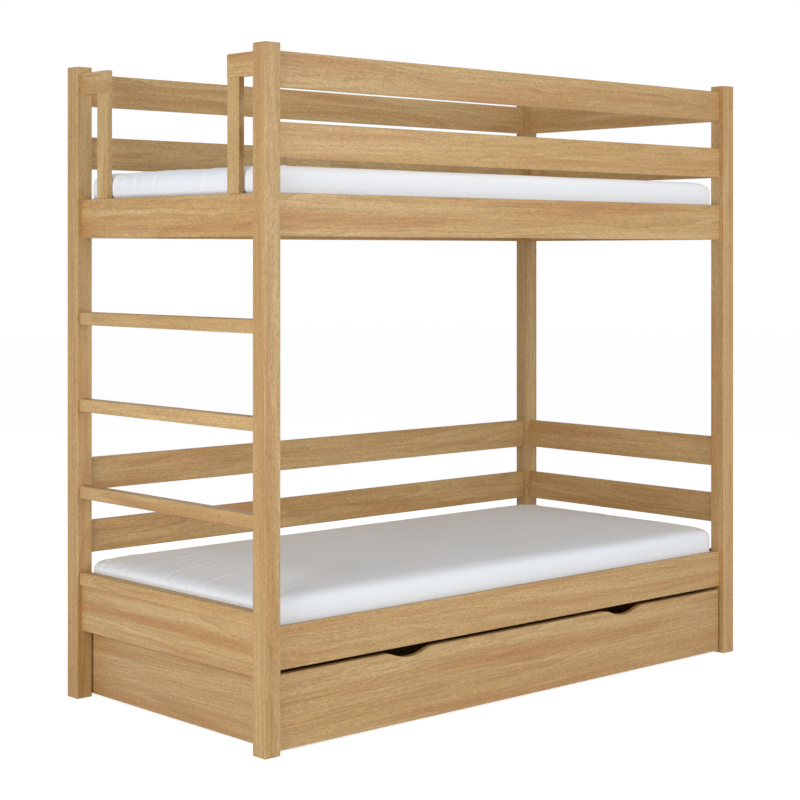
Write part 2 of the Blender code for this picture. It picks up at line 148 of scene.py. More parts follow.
# Wood. A board's own coordinates have the grain along X and the middle of the log behind its face,
# so that the rings cut through the face draw long arches.
oak = {  # sawn oak, planed, under satin lacquer: pale straw to honey brown, with short dark pores
    "light": "#CEAF7B",
    "deep": "#BC945B",
    "red": "#B37E48",
    "line": "#9B6F3A",
    "pore": "#75502B",
    "ringMm": 8.0,  # real rings are 2 to 3 mm; wider here so that they show
    "ringDepth": 0.34,
    "streakMm": (320.0, 7.0),
    "threadMm": (150.0, 2.8),  # bundles of fibres, wider than real ones so that they show
    "threadDepth": 0.10,
    "fleckMm": (13.0, 2.8),  # the ends of the wood's rays
    "fleckDepth": 0.13,
    "poreMm": (9.0, 1.7),  # real pores are 0.3 mm wide; wider here so that they show
    "poreDepth": 0.52,
    "roughness": 0.46,
    "toneSpread": 0.035,  # the share by which a board may be lighter or darker
    "toneTurn": 2.4,
    "paintedLightAndShade": {  # painted light and shade: boards made darker or lighter for how light falls on them, not for their wood
        "post_front_left": 0.95,
        "post_back_right": 0.91,
        "drawer_side_left": 0.93,
        "drawer_front": 0.96,
        "front_side_lower": 0.98,
        "post_front_right": 1.0,
        "back_rail_top": 0.96,
        "left_end_upper": 1.02,
    },
}
pine = {  # planed pine, left bare: pale yellow with soft amber summer rings
    "light": "#E8CB9C",
    "deep": "#DDB983",
    "red": "#DDAE74",
    "line": "#B98449",
    "pore": "#C99B62",
    "ringMm": 7.0,  # about twice as wide as real ones, so that they show
    "ringDepth": 0.75,
    "streakMm": (500.0, 14.0),
    "threadMm": (200.0, 3.0),
    "threadDepth": 0.05,
    "fleckMm": (30.0, 2.0),
    "fleckDepth": 0.03,
    "poreMm": (60.0, 1.5),  # pine has no pores: these are thin streaks of resin
    "poreDepth": 0.12,
    "roughness": 0.62,
}
birch = {  # rotary-cut birch veneer: pale, even, with faint watery bands
    "light": "#E3CBA3",
    "deep": "#D7BA8C",
    "red": "#D3AE7C",
    "line": "#B58F60",
    "pore": "#B8966A",
    "ringMm": 38.0,  # a rotary cut runs along the rings, which makes them broad bands
    "ringDepth": 0.3,
    "streakMm": (400.0, 22.0),
    "threadMm": (90.0, 4.0),
    "threadDepth": 0.05,
    "fleckMm": (12.0, 2.0),
    "fleckDepth": 0.04,
    "poreMm": (14.0, 1.5),
    "poreDepth": 0.25,
    "roughness": 0.55,
    "cut": 3,  # where in the log it was cut, counted as the boards are
}
timber = {  # how boards were sawn from the log, and what their grain has in common
    "pithMm": 45,  # the log's middle lies at least this far behind a board's broad face
    "pithStepMm": 13,
    "pithSteps": 5,
    "asideShare": 0.55,  # and up to this share of the board's width to one side
    "asideTurn": 1.7,
    "asideShift": -0.1,
    "firstM": 0.2,  # each board comes from a stretch of its own along the log
    "stretchM": 0.9,
    "stretches": 9,
    "taper": 0.022,  # how much the log narrows along its length
    "wander": 0.060,
    "wanderMm": (620, 110),
    "ripple": 0.002,
    "rippleMm": (60, 12),
    "lateWood": (0.35, 0.95),  # the part of a ring that darkens to its line
    "ringShare": 0.4,  # how much a ring's own tone counts against the broad bands
    "bandMm": (1500, 36),
    "bandRange": (0.36, 0.64),
    "redMm": (700, 34),
    "redRange": (0.46, 0.68),
    "redMost": 0.62,
    "streakRange": (0.38, 0.72),
    "streakDepth": (0.25, 1.3),
    "fineRange": (0.3, 0.7),
    "poreRange": (0.53, 0.72),
    "earlyWood": 0.6,  # pores thin out over this part of a ring
    "latePores": 0.55,
    "poreRough": 0.3,
    "bump": 0.25,
    "bumpMm": 0.3,
}


def grainPlace(tree, node, index):
    # object coordinates turned so that the grain runs along X, centred on the board, with the log's
    # middle some way behind its broad face and a stretch of wood of its own
    low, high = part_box(node)
    size, centre = Vector(high) - Vector(low), (Vector(low) + Vector(high)) / 2
    longest = max(range(3), key=lambda axis: size[axis])
    turn = Euler([(0, 0, 0), (0, 0, -math.pi / 2), (0, math.pi / 2, 0)][longest])
    turned = [abs(part) for part in turn.to_matrix() @ size]
    pith = Vector((0, 0, 0))
    thin, wide = (1, 2) if turned[1] <= turned[2] else (2, 1)
    pith[thin] = -(timber["pithMm"] + timber["pithStepMm"] * (index % timber["pithSteps"])) * mm
    aside = timber["asideShare"] * math.sin(timber["asideTurn"] * index) + timber["asideShift"]
    pith[wide] = turned[wide] * aside
    pith[0] = timber["stretchM"] * (index % timber["stretches"]) + timber["firstM"]
    place = addNode(tree, "ShaderNodeTexCoord").outputs["Object"]
    shift = pith - turn.to_matrix() @ centre
    return addNode(tree, "ShaderNodeMapping", {"Vector": place, "Rotation": turn, "Location": shift})


def growthRings(tree, grain, wood, wander, ripple):
    # rings by distance from the log's middle, tapering along the board, with a slow wander; gives
    # the place within a ring, the ring's own tone and its dark line
    parts = addNode(tree, "ShaderNodeSeparateXYZ", {0: grain}).outputs
    across = addNode(tree, "ShaderNodeCombineXYZ", {"Y": parts[1], "Z": parts[2]})
    radius = addNode(tree, "ShaderNodeVectorMath", {0: across}, operation="LENGTH").outputs["Value"]
    for name, addend in (("taper", parts[0]), ("wander", wander), ("ripple", ripple)):
        inputs = {0: addend, 1: timber[name], 2: radius}
        radius = addNode(tree, "ShaderNodeMath", inputs, operation="MULTIPLY_ADD")
    turns = addNode(tree, "ShaderNodeMath", {0: radius, 1: 1000 / wood["ringMm"]}, operation="MULTIPLY")
    ring = addNode(tree, "ShaderNodeMath", {0: turns}, operation="FRACT")
    number = addNode(tree, "ShaderNodeMath", {0: turns}, operation="FLOOR")
    ringTone = addNode(tree, "ShaderNodeTexWhiteNoise", {"W": number}, noise_dimensions="1D")
    lateFrom, lateTo = timber["lateWood"]
    inputs = {"Value": ring, "From Min": lateFrom, "From Max": lateTo}
    ringLine = addNode(tree, "ShaderNodeMapRange", inputs, interpolation_type="SMOOTHSTEP")
    return ring, ringTone.outputs["Value"], ringLine


def woodMaterial(name, wood, node, index, toneAndShade=1.0):
    material, tree, shader = newMaterial(name, Roughness=wood["roughness"], IOR=1.5)
    grain = grainPlace(tree, node, index)

    def grainNoise(size, middle=None, least=0.0, most=1.0, detail=2):
        # noise with features of size (length along the grain, width across it) in mm, with the
        # middle of its range drawn out over least to most
        scale = (1000 / size[0], 1000 / size[1], 1000 / size[1])
        stretched = addNode(tree, "ShaderNodeMapping", {"Vector": grain, "Scale": scale})
        noise = addNode(tree, "ShaderNodeTexNoise", {"Vector": stretched, "Scale": 1.0, "Detail": detail})
        if middle is None:
            return noise
        low, high = middle
        reach = {"Value": noise, "From Min": low, "From Max": high, "To Min": least, "To Max": most}
        return addNode(tree, "ShaderNodeMapRange", reach)

    wander, ripple = grainNoise(timber["wanderMm"]), grainNoise(timber["rippleMm"])
    ring, ringTone, ringLine = growthRings(tree, grain, wood, wander, ripple)

    # colour: broad bands mixed with each ring's own tone, reddish stretches, ring lines and streaks
    bands = grainNoise(timber["bandMm"], timber["bandRange"], detail=3)
    inputs = {"Factor": timber["ringShare"], "A": bands, "B": ringTone}
    bandShare = addNode(tree, "ShaderNodeMix", inputs, data_type="FLOAT")
    redShare = grainNoise(timber["redMm"], timber["redRange"], most=timber["redMost"], detail=3)
    streaks = grainNoise(wood["streakMm"], timber["streakRange"], *timber["streakDepth"], detail=4)
    lineShare = addNode(tree, "ShaderNodeMath", {0: ringLine, 1: streaks}, operation="MULTIPLY")
    lineShare = addNode(tree, "ShaderNodeMath", {0: lineShare, 1: wood["ringDepth"]}, operation="MULTIPLY")
    colour = linearColour(wood["light"])
    for name, share in (("deep", bandShare), ("red", redShare), ("line", lineShare)):
        inputs = {"Factor": share, "A": colour, "B": linearColour(wood[name])}
        colour = addNode(tree, "ShaderNodeMix", inputs, data_type="RGBA")

    # fine threads and short flecks lighten and darken it
    depth = wood["threadDepth"]
    # the board's toneAndShade scales this: a random tone of the wood, or painted light and shade for the
    # boards listed in the oak table
    threads = grainNoise(wood["threadMm"], timber["fineRange"], (1 - depth) * toneAndShade, (1 + depth) * toneAndShade)
    depth = wood["fleckDepth"]
    flecks = grainNoise(wood["fleckMm"], timber["fineRange"], 1 - depth, 1 + depth, detail=1)
    brightness = addNode(tree, "ShaderNodeMath", {0: threads, 1: flecks}, operation="MULTIPLY")
    colour = addNode(tree, "ShaderNodeHueSaturation", {"Value": brightness, "Color": colour})

    # pores are short dark dashes, thickest where a ring starts
    dashes = grainNoise(wood["poreMm"], timber["poreRange"], most=wood["poreDepth"], detail=1)
    inputs = {"Value": ring, "From Max": timber["earlyWood"], "To Min": 1.0, "To Max": timber["latePores"]}
    early = addNode(tree, "ShaderNodeMapRange", inputs)
    poreShare = addNode(tree, "ShaderNodeMath", {0: dashes, 1: early}, operation="MULTIPLY")
    inputs = {"Factor": poreShare, "A": colour, "B": linearColour(wood["pore"])}
    colour = addNode(tree, "ShaderNodeMix", inputs, data_type="RGBA")
    tree.links.new(colour.outputs[2], shader.inputs["Base Color"])

    # pores are rougher than the face around them, and a little lower
    inputs = {0: poreShare, 1: timber["poreRough"], 2: wood["roughness"]}
    rough = addNode(tree, "ShaderNodeMath", inputs, operation="MULTIPLY_ADD")
    tree.links.new(rough.outputs[0], shader.inputs["Roughness"])
    height = addNode(tree, "ShaderNodeMath", {0: brightness, 1: poreShare}, operation="SUBTRACT")
    inputs = {"Height": height, "Strength": timber["bump"], "Distance": timber["bumpMm"] * mm}
    bump = addNode(tree, "ShaderNodeBump", inputs)
    tree.links.new(bump.outputs[0], shader.inputs["Normal"])
    return material


def nodesWith(slot):
    # the record's nodes with this finish, by name
    return sorted(row["node"] for row in frame["record"]["subparts"] if row["material_slot"] == slot)


# each oak board gets a random tone of its wood, unless the oak table gives it painted light and shade
# instead
for index, node in enumerate(nodesWith("oak")):
    toneAndShade = 1.0 + oak["toneSpread"] * math.sin(oak["toneTurn"] * index)
    dress(node, woodMaterial("lacquered_oak_" + node, oak, node, index, oak["paintedLightAndShade"].get(node, toneAndShade)))
for index, node in enumerate(n for n in nodesWith("pine") if not n.startswith("slats")):
    dress(node, woodMaterial("planed_pine_" + node, pine, node, index))
for node in nodesWith("plywood"):
    dress(node, woodMaterial("birch_plywood", birch, node, birch["cut"]))
print("boards finished")


# Fitted sheets: smooth cotton percale, cool white, drawn over a foam mattress with soft top edges
bedding = {
    "sheet": "#F2F7FD",
    "threadMm": 1.3,  # real threads are 0.3 mm; coarser here so that they show close by
    "threadShare": 0.5,  # how much the threads count against the slubs in the cloth's height
    "slubMm": 16.7,  # from one thick place in the yarn to the next
    "slubShade": (0.985, 1.01),
    "clothMm": 0.8,
    "ticking": ("#D9D8D4", "#EAE9E5"),
    "ribMm": 7.85,  # real ribs are about 2 mm apart; wider here so that they show
    "outlineSides": 40,
    "underRollMm": 22,
    "underSteps": 5,
    "rollWideMm": 44.0,
    "rollHighMm": 24.0,
    "rollSteps": 12,
    "rollSquare": 2.4,  # 2 is an ellipse, more is squarer
    "cornerMm": 36.0,  # the outline's corner radius, which grows with the inset of the top edge
    "cornerGrowth": 0.75,
    "rimMm": 2.0,  # how far the rim lies under the top of the CAD mattress
    "insideMm": 0.8,  # how far the cloth lies inside the CAD mattress, to leave room for its creases
    "coreGapMm": 3.4,  # how far the foam lies inside the cloth
    "crownMm": {"lower": 9.0, "upper": 4.5},  # how far the middle stands over the rim
    "crownEndMm": 105.0,  # how soon the top levels out, from an end and from a side
    "crownSideMm": 90.0,
    "bulgeMm": 7.6,  # how far the ladder end swells out over the wood under it
    "bulgeFromMm": 1,  # it starts this far over that wood and is full this much higher
    "bulgeRiseMm": 9,
    "bulgeSideMm": 10,  # it starts this far in from the mattress's sides and is full this much further
    "bulgeFadeMm": 40,
    "ledges": {"lower": "rung_1", "upper": "left_end_upper"},  # the wood under the ladder end
    "voxelMm": 9.0,
    "evenRounds": 4,
    "evenFactor": 0.5,
    "creasedMm": 330.0,  # the finer part of the cloth at the ladder end
    "creasedFacing": -0.3,  # and only where it looks up, or down no more than this
    "tuckMm": 90.0,
    "underFacing": -0.8,  # cloth that looks down this much is the underside
    "smoothFacing": -0.5,  # and below this it has no creases
    "sideBandMm": 20,  # this near to an edge the cloth sinks by sinkMm at most
    "sinkMm": 2.5,
    "liftShare": 0.85,  # and lifts by this share of insideMm at most
    "hemMm": (78, 98),  # the hem's outer and inner edge, in from the mattress's outline
    "hemCornerMm": 40,
    "hemHighMm": 0.95,
    "hemThickMm": 0.6,
    "flat": (1.24, 2.24),  # the sheet as cut, in metres
    "cutOut": 0.22,  # the side of the square taken out of each of its corners
}
swells = {  # gentle unevenness of cloth over foam: height, size and seed
    "top": (1.1, 210, 3),
    "side": (0.5, 60, 5),
    "upright": 0.15,  # how much shorter the side's swells are across than up
    "waves": 14,
    "spread": (0.7, 1.5),
}
creases = {  # on the unrolled top, in metres and as seen on the lower bunk
    "seeds": {1: 11, -1: 7},
    "fan": {  # over the roll at the ladder end
        "count": 46,
        "firstY": -0.38,
        "pitch": 0.0165,
        "jitter": 0.005,
        "startX": -0.90,
        "endX": -0.97,
        "long": (0.08, 0.30),
        "slant": (0.2, 0.45),
        "bend": (-0.01, 0.02),
        "halfWidthMm": (5, 8.5),
        "heightMm": (0.6, 1.6),
    },
    "foot": {  # at the other end
        "count": 9,
        "firstY": -0.3,
        "pitch": 0.07,
        "jitter": 0.02,
        "startX": 0.90,
        "endX": 0.95,
        "long": (0.08, 0.2),
        "drift": 0.03,
        "bend": 0.005,
        "halfWidthMm": (9, 13),
        "heightMm": (0.4, 0.9),
    },
    "edge": {  # long shallow ones beside the long edges
        "count": 9,
        "x": (-0.8, 0.2),
        "y": ((0.2, 0.36), (-0.36, -0.15), (-0.36, -0.15)),
        "long": (0.25, 0.6),
        "drift": 0.03,
        "bend": (-0.015, 0.015),
        "halfWidthMm": (9, 14),
        "heightMm": (0.6, 1.3),
    },
    "corner": {  # fans where the cloth is gathered
        "count": 5,
        "place": (0.91, 0.41),
        "firstDeg": 12,
        "pitchDeg": 16,
        "jitterDeg": 4,
        "long": (0.10, 0.20),
        "beyond": 0.05,
        "halfWidthMm": (5, 8),
        "heightMm": (0.6, 1.3),
    },
    "fadeRate": 4,  # how fast a crease rises from its ends
    "fadeLeast": 0.15,
    "overrun": 0.04,
    "troughDepth": 0.75,  # the hollow beside it: depth, place and width in half widths
    "troughPlace": 1.9,
    "troughWidth": 1.4,
}


def clothMaterial():
    # cotton: matt, with a soft bloom at grazing angles and a plain weave
    sheen = {"Sheen_Weight": 0.25, "Sheen_Roughness": 0.5}
    material, tree, shader = newMaterial("cotton_percale", Roughness=0.9, **sheen)
    place = addNode(tree, "ShaderNodeTexCoord").outputs["Object"]
    parts = addNode(tree, "ShaderNodeSeparateXYZ", {0: place}).outputs
    turnsPerMetre = 2 * math.pi * 1000 / bedding["threadMm"]
    threads = []
    for part in parts[:2]:
        slanted = addNode(tree, "ShaderNodeMath", {0: part, 1: parts[2]}, operation="ADD")
        angle = addNode(tree, "ShaderNodeMath", {0: slanted, 1: turnsPerMetre}, operation="MULTIPLY")
        threads.append(addNode(tree, "ShaderNodeMath", {0: angle}, operation="SINE"))
    weave = addNode(tree, "ShaderNodeMath", {0: threads[0], 1: threads[1]}, operation="MULTIPLY")
    inputs = {"Vector": place, "Scale": 1000 / bedding["slubMm"], "Detail": 3.0}
    slubs = addNode(tree, "ShaderNodeTexNoise", inputs)
    darkest, lightest = bedding["slubShade"]
    inputs = {"Value": slubs, "From Min": 0.3, "From Max": 0.7, "To Min": darkest, "To Max": lightest}
    shade = addNode(tree, "ShaderNodeMapRange", inputs)
    tint = linearColour(bedding["sheet"])
    colour = addNode(tree, "ShaderNodeHueSaturation", {"Value": shade, "Color": tint})
    tree.links.new(colour.outputs[0], shader.inputs["Base Color"])
    inputs = {0: weave, 1: bedding["threadShare"], 2: slubs.outputs["Fac"]}
    height = addNode(tree, "ShaderNodeMath", inputs, operation="MULTIPLY_ADD")
    bump = addNode(tree, "ShaderNodeBump", {"Height": height, "Strength": 0.15, "Distance": 0.1 * mm})
    tree.links.new(bump.outputs[0], shader.inputs["Normal"])
    return material


def tickingMaterial():
    # knitted mattress ticking: white jersey with fine ribs
    material, tree, shader = newMaterial("jersey_ticking", Roughness=0.95, Sheen_Weight=0.3)
    place = addNode(tree, "ShaderNodeTexCoord").outputs["Object"]
    wavePeriod = math.pi / 10  # at a scale of 1 the wave texture repeats this often
    ribScale = 1000 * wavePeriod / bedding["ribMm"]
    inputs = {"Vector": place, "Scale": ribScale, "Distortion": 1.5, "Detail": 2.0}
    ribs = addNode(tree, "ShaderNodeTexWave", inputs).outputs["Fac"]
    hollow, rib = (linearColour(hexText) for hexText in bedding["ticking"])
    colour = addNode(tree, "ShaderNodeMix", {"Factor": ribs, "A": hollow, "B": rib}, data_type="RGBA")
    tree.links.new(colour.outputs[2], shader.inputs["Base Color"])
    bump = addNode(tree, "ShaderNodeBump", {"Height": ribs, "Strength": 0.4, "Distance": 0.5 * mm})
    tree.links.new(bump.outputs[0], shader.inputs["Normal"])
    return material


def mattressLevels(low, high, inside):
    # outlines of the mattress from its bottom up, as (height, inset, corner radius)
    bottom, top = low.z + inside, high.z - inside - bedding["rimMm"] * mm
    wide, tall = bedding["rollWideMm"] * mm, bedding["rollHighMm"] * mm
    under, corner = bedding["underRollMm"] * mm, bedding["cornerMm"] * mm
    levels = []
    for step in range(bedding["underSteps"] + 1):  # the bottom edge, a quarter round
        angle = math.pi / 2 * step / bedding["underSteps"]
        inset = under * (1 - math.sin(angle))
        levels.append((bottom + under * (1 - math.cos(angle)), inside + inset, corner + inset))
    for step in range(bedding["rollSteps"] + 1):  # the top edge, a wide soft roll
        angle = math.pi / 2 * step / bedding["rollSteps"]
        inset = wide * (1 - max(math.cos(angle), 0) ** (2 / bedding["rollSquare"]))
        rise = tall * math.sin(angle) ** (2 / bedding["rollSquare"])
        levels.append((top - tall + rise, inside + inset, corner + bedding["cornerGrowth"] * inset))
    return levels


def addOutline(shape, half, height, inset, radius):
    # one rounded rectangle round the middle of the bed, as its edges
    sides = bedding["outlineSides"]
    ring = bmesh.ops.create_circle(shape, segments=sides, radius=radius)["verts"]
    turn = Matrix.Rotation(math.pi / sides, 3, "Z")
    bmesh.ops.rotate(shape, cent=(0, 0, 0), matrix=turn, verts=ring)
    for vert in ring:
        vert.co.x += math.copysign(half.x - inset - radius, vert.co.x)
        vert.co.y += math.copysign(half.y - inset - radius, vert.co.y)
        vert.co.z = height
    return inOrder(e for v in ring for e in v.link_edges)


def loftMattress(shape, low, high, inside):
    # outlines one over the other, bridged and capped
    half = (high - low) / 2
    rings = [addOutline(shape, half, *level) for level in mattressLevels(low, high, inside)]
    for lower, upper in zip(rings, rings[1:]):
        bmesh.ops.bridge_loops(shape, edges=[*lower, *upper])
    for ring in (rings[0], rings[-1]):
        bmesh.ops.contextual_create(shape, geom=ring)
    bmesh.ops.recalc_face_normals(shape, faces=shape.faces)


def applied(piece):
    # the piece's mesh as its modifiers leave it
    graph = bpy.context.evaluated_depsgraph_get()
    mesh = bpy.data.meshes.new_from_object(piece.evaluated_get(graph), depsgraph=graph)
    piece.modifiers.clear()
    old, piece.data = piece.data, mesh
    bpy.data.meshes.remove(old)
    return piece


def creaseLines(side):
    # creases in the cloth, as (start, end, bend, half width, height) in metres on the unrolled top;
    # side is 1 or -1 and mirrors them across the bed
    draw = np.random.default_rng(creases["seeds"][side])
    lines = []

    def crease(start, end, bend, halfWidthMm, heightMm):
        ends = [np.array([x, side * y]) for x, y in (start, end)]
        lines.append((*ends, side * bend, halfWidthMm * mm, heightMm * mm))

    fan = creases["fan"]
    for index in range(fan["count"]):
        y = fan["firstY"] + fan["pitch"] * index + draw.uniform(-fan["jitter"], fan["jitter"])
        long = draw.uniform(*fan["long"])
        start = (fan["startX"] + long, y + long * draw.uniform(*fan["slant"]))
        bend, halfWidth = draw.uniform(*fan["bend"]), draw.uniform(*fan["halfWidthMm"])
        crease(start, (fan["endX"], y), bend, halfWidth, draw.uniform(*fan["heightMm"]))
    foot = creases["foot"]
    for index in range(foot["count"]):
        y = foot["firstY"] + foot["pitch"] * index + draw.uniform(-foot["jitter"], foot["jitter"])
        start = (foot["startX"] - draw.uniform(*foot["long"]), y)
        end = (foot["endX"], y + draw.uniform(-foot["drift"], foot["drift"]))
        halfWidth = draw.uniform(*foot["halfWidthMm"])
        crease(start, end, foot["bend"], halfWidth, draw.uniform(*foot["heightMm"]))
    edge = creases["edge"]
    for index in range(edge["count"]):
        x = draw.uniform(*edge["x"])
        y = draw.uniform(*edge["y"][index % len(edge["y"])])
        end = (x + draw.uniform(*edge["long"]), y + draw.uniform(-edge["drift"], edge["drift"]))
        bend, halfWidth = draw.uniform(*edge["bend"]), draw.uniform(*edge["halfWidthMm"])
        crease((x, y), end, bend, halfWidth, draw.uniform(*edge["heightMm"]))
    fold = creases["corner"]  # all four corners have these, so they aren't mirrored
    for signX in (-1, 1):
        for signY in (-1, 1):
            for index in range(fold["count"]):
                jitter = draw.uniform(-fold["jitterDeg"], fold["jitterDeg"])
                angle = math.radians(fold["firstDeg"] + fold["pitchDeg"] * index + jitter)
                reach = draw.uniform(*fold["long"])
                corner = np.array([signX * fold["place"][0], signY * fold["place"][1]])
                outward = np.array([signX * math.cos(angle), signY * math.sin(angle)])
                start, end = corner - reach * outward, corner + fold["beyond"] * outward
                halfWidth = draw.uniform(*fold["halfWidthMm"]) * mm
                lines.append((start, end, 0.0, halfWidth, draw.uniform(*fold["heightMm"]) * mm))
    return lines


def eased(share):
    # 0 to 1 with a soft start and end
    return share * share * (3 - 2 * share)


def creaseHeights(flatPlaces, lines):
    # how far each point of the cloth is lifted or sunk by the creases
    total = np.zeros(len(flatPlaces))
    over = creases["overrun"]
    for start, end, bend, halfWidth, height in lines:
        along = end - start
        length = np.linalg.norm(along)
        along = along / length
        across = np.array([-along[1], along[0]])
        offset = flatPlaces - start
        share = offset @ along / length
        bowed = bend * np.sin(np.pi * np.clip(share, 0, 1))
        distance = (offset @ across - bowed) / halfWidth
        fade = np.clip(np.minimum(share, 1 - share) * creases["fadeRate"] + creases["fadeLeast"], 0, 1)
        fade = eased(fade * ((share > -over) & (share < 1 + over)))
        trough = np.exp(-(((distance - creases["troughPlace"]) / creases["troughWidth"]) ** 2))
        total += height * fade * (np.exp(-(distance**2)) - creases["troughDepth"] * trough)
    return total


def softNoise(places, sizeMm, seed):
    # gentle swells of about this size
    draw = np.random.default_rng(seed)
    total = np.zeros(len(places))
    for _ in range(swells["waves"]):
        direction = draw.normal(size=3)
        length = sizeMm * mm * draw.uniform(*swells["spread"])
        direction = direction / np.linalg.norm(direction) * 2 * np.pi / length
        total += np.sin(places @ direction + draw.uniform(0, 2 * np.pi))
    return total / swells["waves"]


def evenSheet(bunk, low, high, material):
    # the mattress's outline, remeshed to even faces so that creases can cross it any way
    shape = bmesh.new()
    loftMattress(shape, low, high, bedding["insideMm"] * mm)
    sheet = finishMesh("fittedSheet_" + bunk, shape, material, smoothAngle=0)
    remesh = sheet.modifiers.new("evenMesh", "REMESH")
    remesh.mode, remesh.voxel_size = "VOXEL", bedding["voxelMm"] * mm
    remesh.use_smooth_shade = True
    smooth = sheet.modifiers.new("even", "CORRECTIVE_SMOOTH")
    smooth.use_only_smooth = True
    smooth.iterations, smooth.factor = bedding["evenRounds"], bedding["evenFactor"]
    return applied(sheet)


def openUnderside(shape, high):
    # the sheet's bottom is open, but for a margin that is tucked under
    tuck = bedding["tuckMm"] * mm
    opened = [
        f
        for f in shape.faces
        if f.normal.z < bedding["underFacing"]
        and abs(f.calc_center_median().x) < high.x - tuck
        and abs(f.calc_center_median().y) < high.y - tuck
    ]
    bmesh.ops.delete(shape, geom=opened, context="FACES")


def refineCreased(shape, low):
    # finer cloth where most of the creases are
    creasedTo = low.x + bedding["creasedMm"] * mm
    creased = [
        f
        for f in shape.faces
        if f.calc_center_median().x < creasedTo and f.normal.z > bedding["creasedFacing"]
    ]
    edges = inOrder(e for f in creased for e in f.edges)
    finer = bmesh.ops.subdivide_edges(shape, edges=edges, cuts=1, use_grid_fill=True)
    added = [part for part in finer["geom_inner"] if isinstance(part, bmesh.types.BMVert)]
    axes = {"use_axis_x": True, "use_axis_y": True, "use_axis_z": True}
    bmesh.ops.smooth_vert(shape, verts=added, factor=bedding["evenFactor"], **axes)
    shape.normal_update()


def unrolled(places, high):
    # where the cloth's points lie on the plan once its edges are rolled out flat
    down = np.clip(high.z - bedding["insideMm"] * mm - places[:, 2], 0, None)
    roll = bedding["rollWideMm"] * mm
    overEnd = np.clip((np.abs(places[:, 0]) - (high.x - roll)) / roll, 0, 1)
    overSide = np.clip((np.abs(places[:, 1]) - (high.y - roll)) / roll, 0, 1)
    flatPlaces = places[:, :2].copy()
    flatPlaces[:, 0] += np.sign(places[:, 0]) * down * overEnd
    flatPlaces[:, 1] += np.sign(places[:, 1]) * down * overSide
    return flatPlaces


def crownHeights(places, high, crownMm):
    # how far the cloth's soft middle rises
    fromEnd = np.clip(high.x - np.abs(places[:, 0]), 0, None) / (bedding["crownEndMm"] * mm)
    fromSide = np.clip(high.y - np.abs(places[:, 1]), 0, None) / (bedding["crownSideMm"] * mm)
    return crownMm * mm * (1 - np.exp(-fromEnd)) * (1 - np.exp(-fromSide))


def clothLift(places, normals, high, lines):
    # how far creases and swells lift the cloth, which stays within its room near the sides
    inside = bedding["insideMm"] * mm
    upward = np.clip(normals[:, 2], 0, 1)
    lift = creaseHeights(unrolled(places, high), lines)
    height, size, seed = swells["top"]
    lift += height * mm * softNoise(places, size, seed) * upward
    height, size, seed = swells["side"]
    lift += height * mm * softNoise(places * np.array([1, 1, swells["upright"]]), size, seed) * (1 - upward)
    band = bedding["sideBandMm"] * mm
    sides = np.maximum(np.abs(places[:, 0]) - (high.x - band), np.abs(places[:, 1]) - (high.y - band)) > 0
    lift = np.where(sides, np.clip(lift, -bedding["sinkMm"] * mm, inside * bedding["liftShare"]), lift)
    return np.where(normals[:, 2] < bedding["smoothFacing"], 0, lift)


def bulgeOverLedge(places, normals, high, ledge):
    # foam and cloth swell out over the wood at the ladder end, between the posts
    above = (places[:, 2] - ledge - bedding["bulgeFromMm"] * mm) / (bedding["bulgeRiseMm"] * mm)
    between = high.y - bedding["bulgeSideMm"] * mm - np.abs(places[:, 1])
    between = between / (bedding["bulgeFadeMm"] * mm)
    swell = eased(np.clip(above, 0, 1)) * eased(np.clip(between, 0, 1))
    places[:, 0] -= bedding["bulgeMm"] * mm * swell * np.clip(-normals[:, 0], 0, 1)


def addFittedSheet(bunk, material, side):
    low, high = (Vector(corner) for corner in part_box("mattress_" + bunk))
    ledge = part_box(bedding["ledges"][bunk])[1][2]
    sheet = evenSheet(bunk, low, high, material)
    shape = bmesh.new()
    shape.from_mesh(sheet.data)
    openUnderside(shape, high)
    refineCreased(shape, low)
    smoothPlaces = np.array([v.co for v in shape.verts])
    normals = np.array([v.normal for v in shape.verts])
    lift = clothLift(smoothPlaces, normals, high, creaseLines(side))
    crown = crownHeights(smoothPlaces, high, bedding["crownMm"][bunk])
    places = smoothPlaces + normals * lift[:, None]
    places[:, 2] += crown * np.clip(normals[:, 2], 0, 1)
    bulgeOverLedge(places, normals, high, ledge)
    for vert, place in zip(shape.verts, places):
        vert.co = place
    mesh = sheet.data
    shape.to_mesh(mesh)
    shape.free()
    mesh.shade_smooth()
    cloth = sheet.modifiers.new("clothThickness", "SOLIDIFY")
    cloth.thickness, cloth.offset = bedding["clothMm"] * mm, -1
    cloth.use_rim = True
    return sheet, low, high


def addMattressCore(bunk, material, low, high):
    inside = (bedding["insideMm"] + bedding["coreGapMm"]) * mm
    shape = bmesh.new()
    loftMattress(shape, low, high, inside)
    return finishMesh("mattressCore_" + bunk, shape, material, smoothAngle=50)


def addHem(bunk, material, low, high):
    # a flat elastic hem along the sheet's edge, under the mattress
    half = (high - low) / 2
    height, radius = low.z + bedding["hemHighMm"] * mm, bedding["hemCornerMm"] * mm
    shape = bmesh.new()
    outer, inner = (addOutline(shape, half, height, inset * mm, radius) for inset in bedding["hemMm"])
    bmesh.ops.bridge_loops(shape, edges=[*outer, *inner])
    hem = finishMesh("sheetHem_" + bunk, shape, material)
    band = hem.modifiers.new("hemThickness", "SOLIDIFY")
    band.thickness, band.offset = bedding["hemThickMm"] * mm, -1
    applied(hem).data.set_sharp_from_angle(angle=math.radians(sharpDeg))
    return hem


cotton = clothMaterial()
ticking = tickingMaterial()
for bunk, side in (("lower", 1), ("upper", -1)):
    sheet, low, high = addFittedSheet(bunk, cotton, side)
    core = addMattressCore(bunk, ticking, low, high)
    hem = addHem(bunk, cotton, low, high)
    for piece in (sheet, core, hem):
        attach(piece, "bed")
    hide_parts("mattress_" + bunk)
    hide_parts("mattress_" + bunk)
print("mattresses and fitted sheets made")


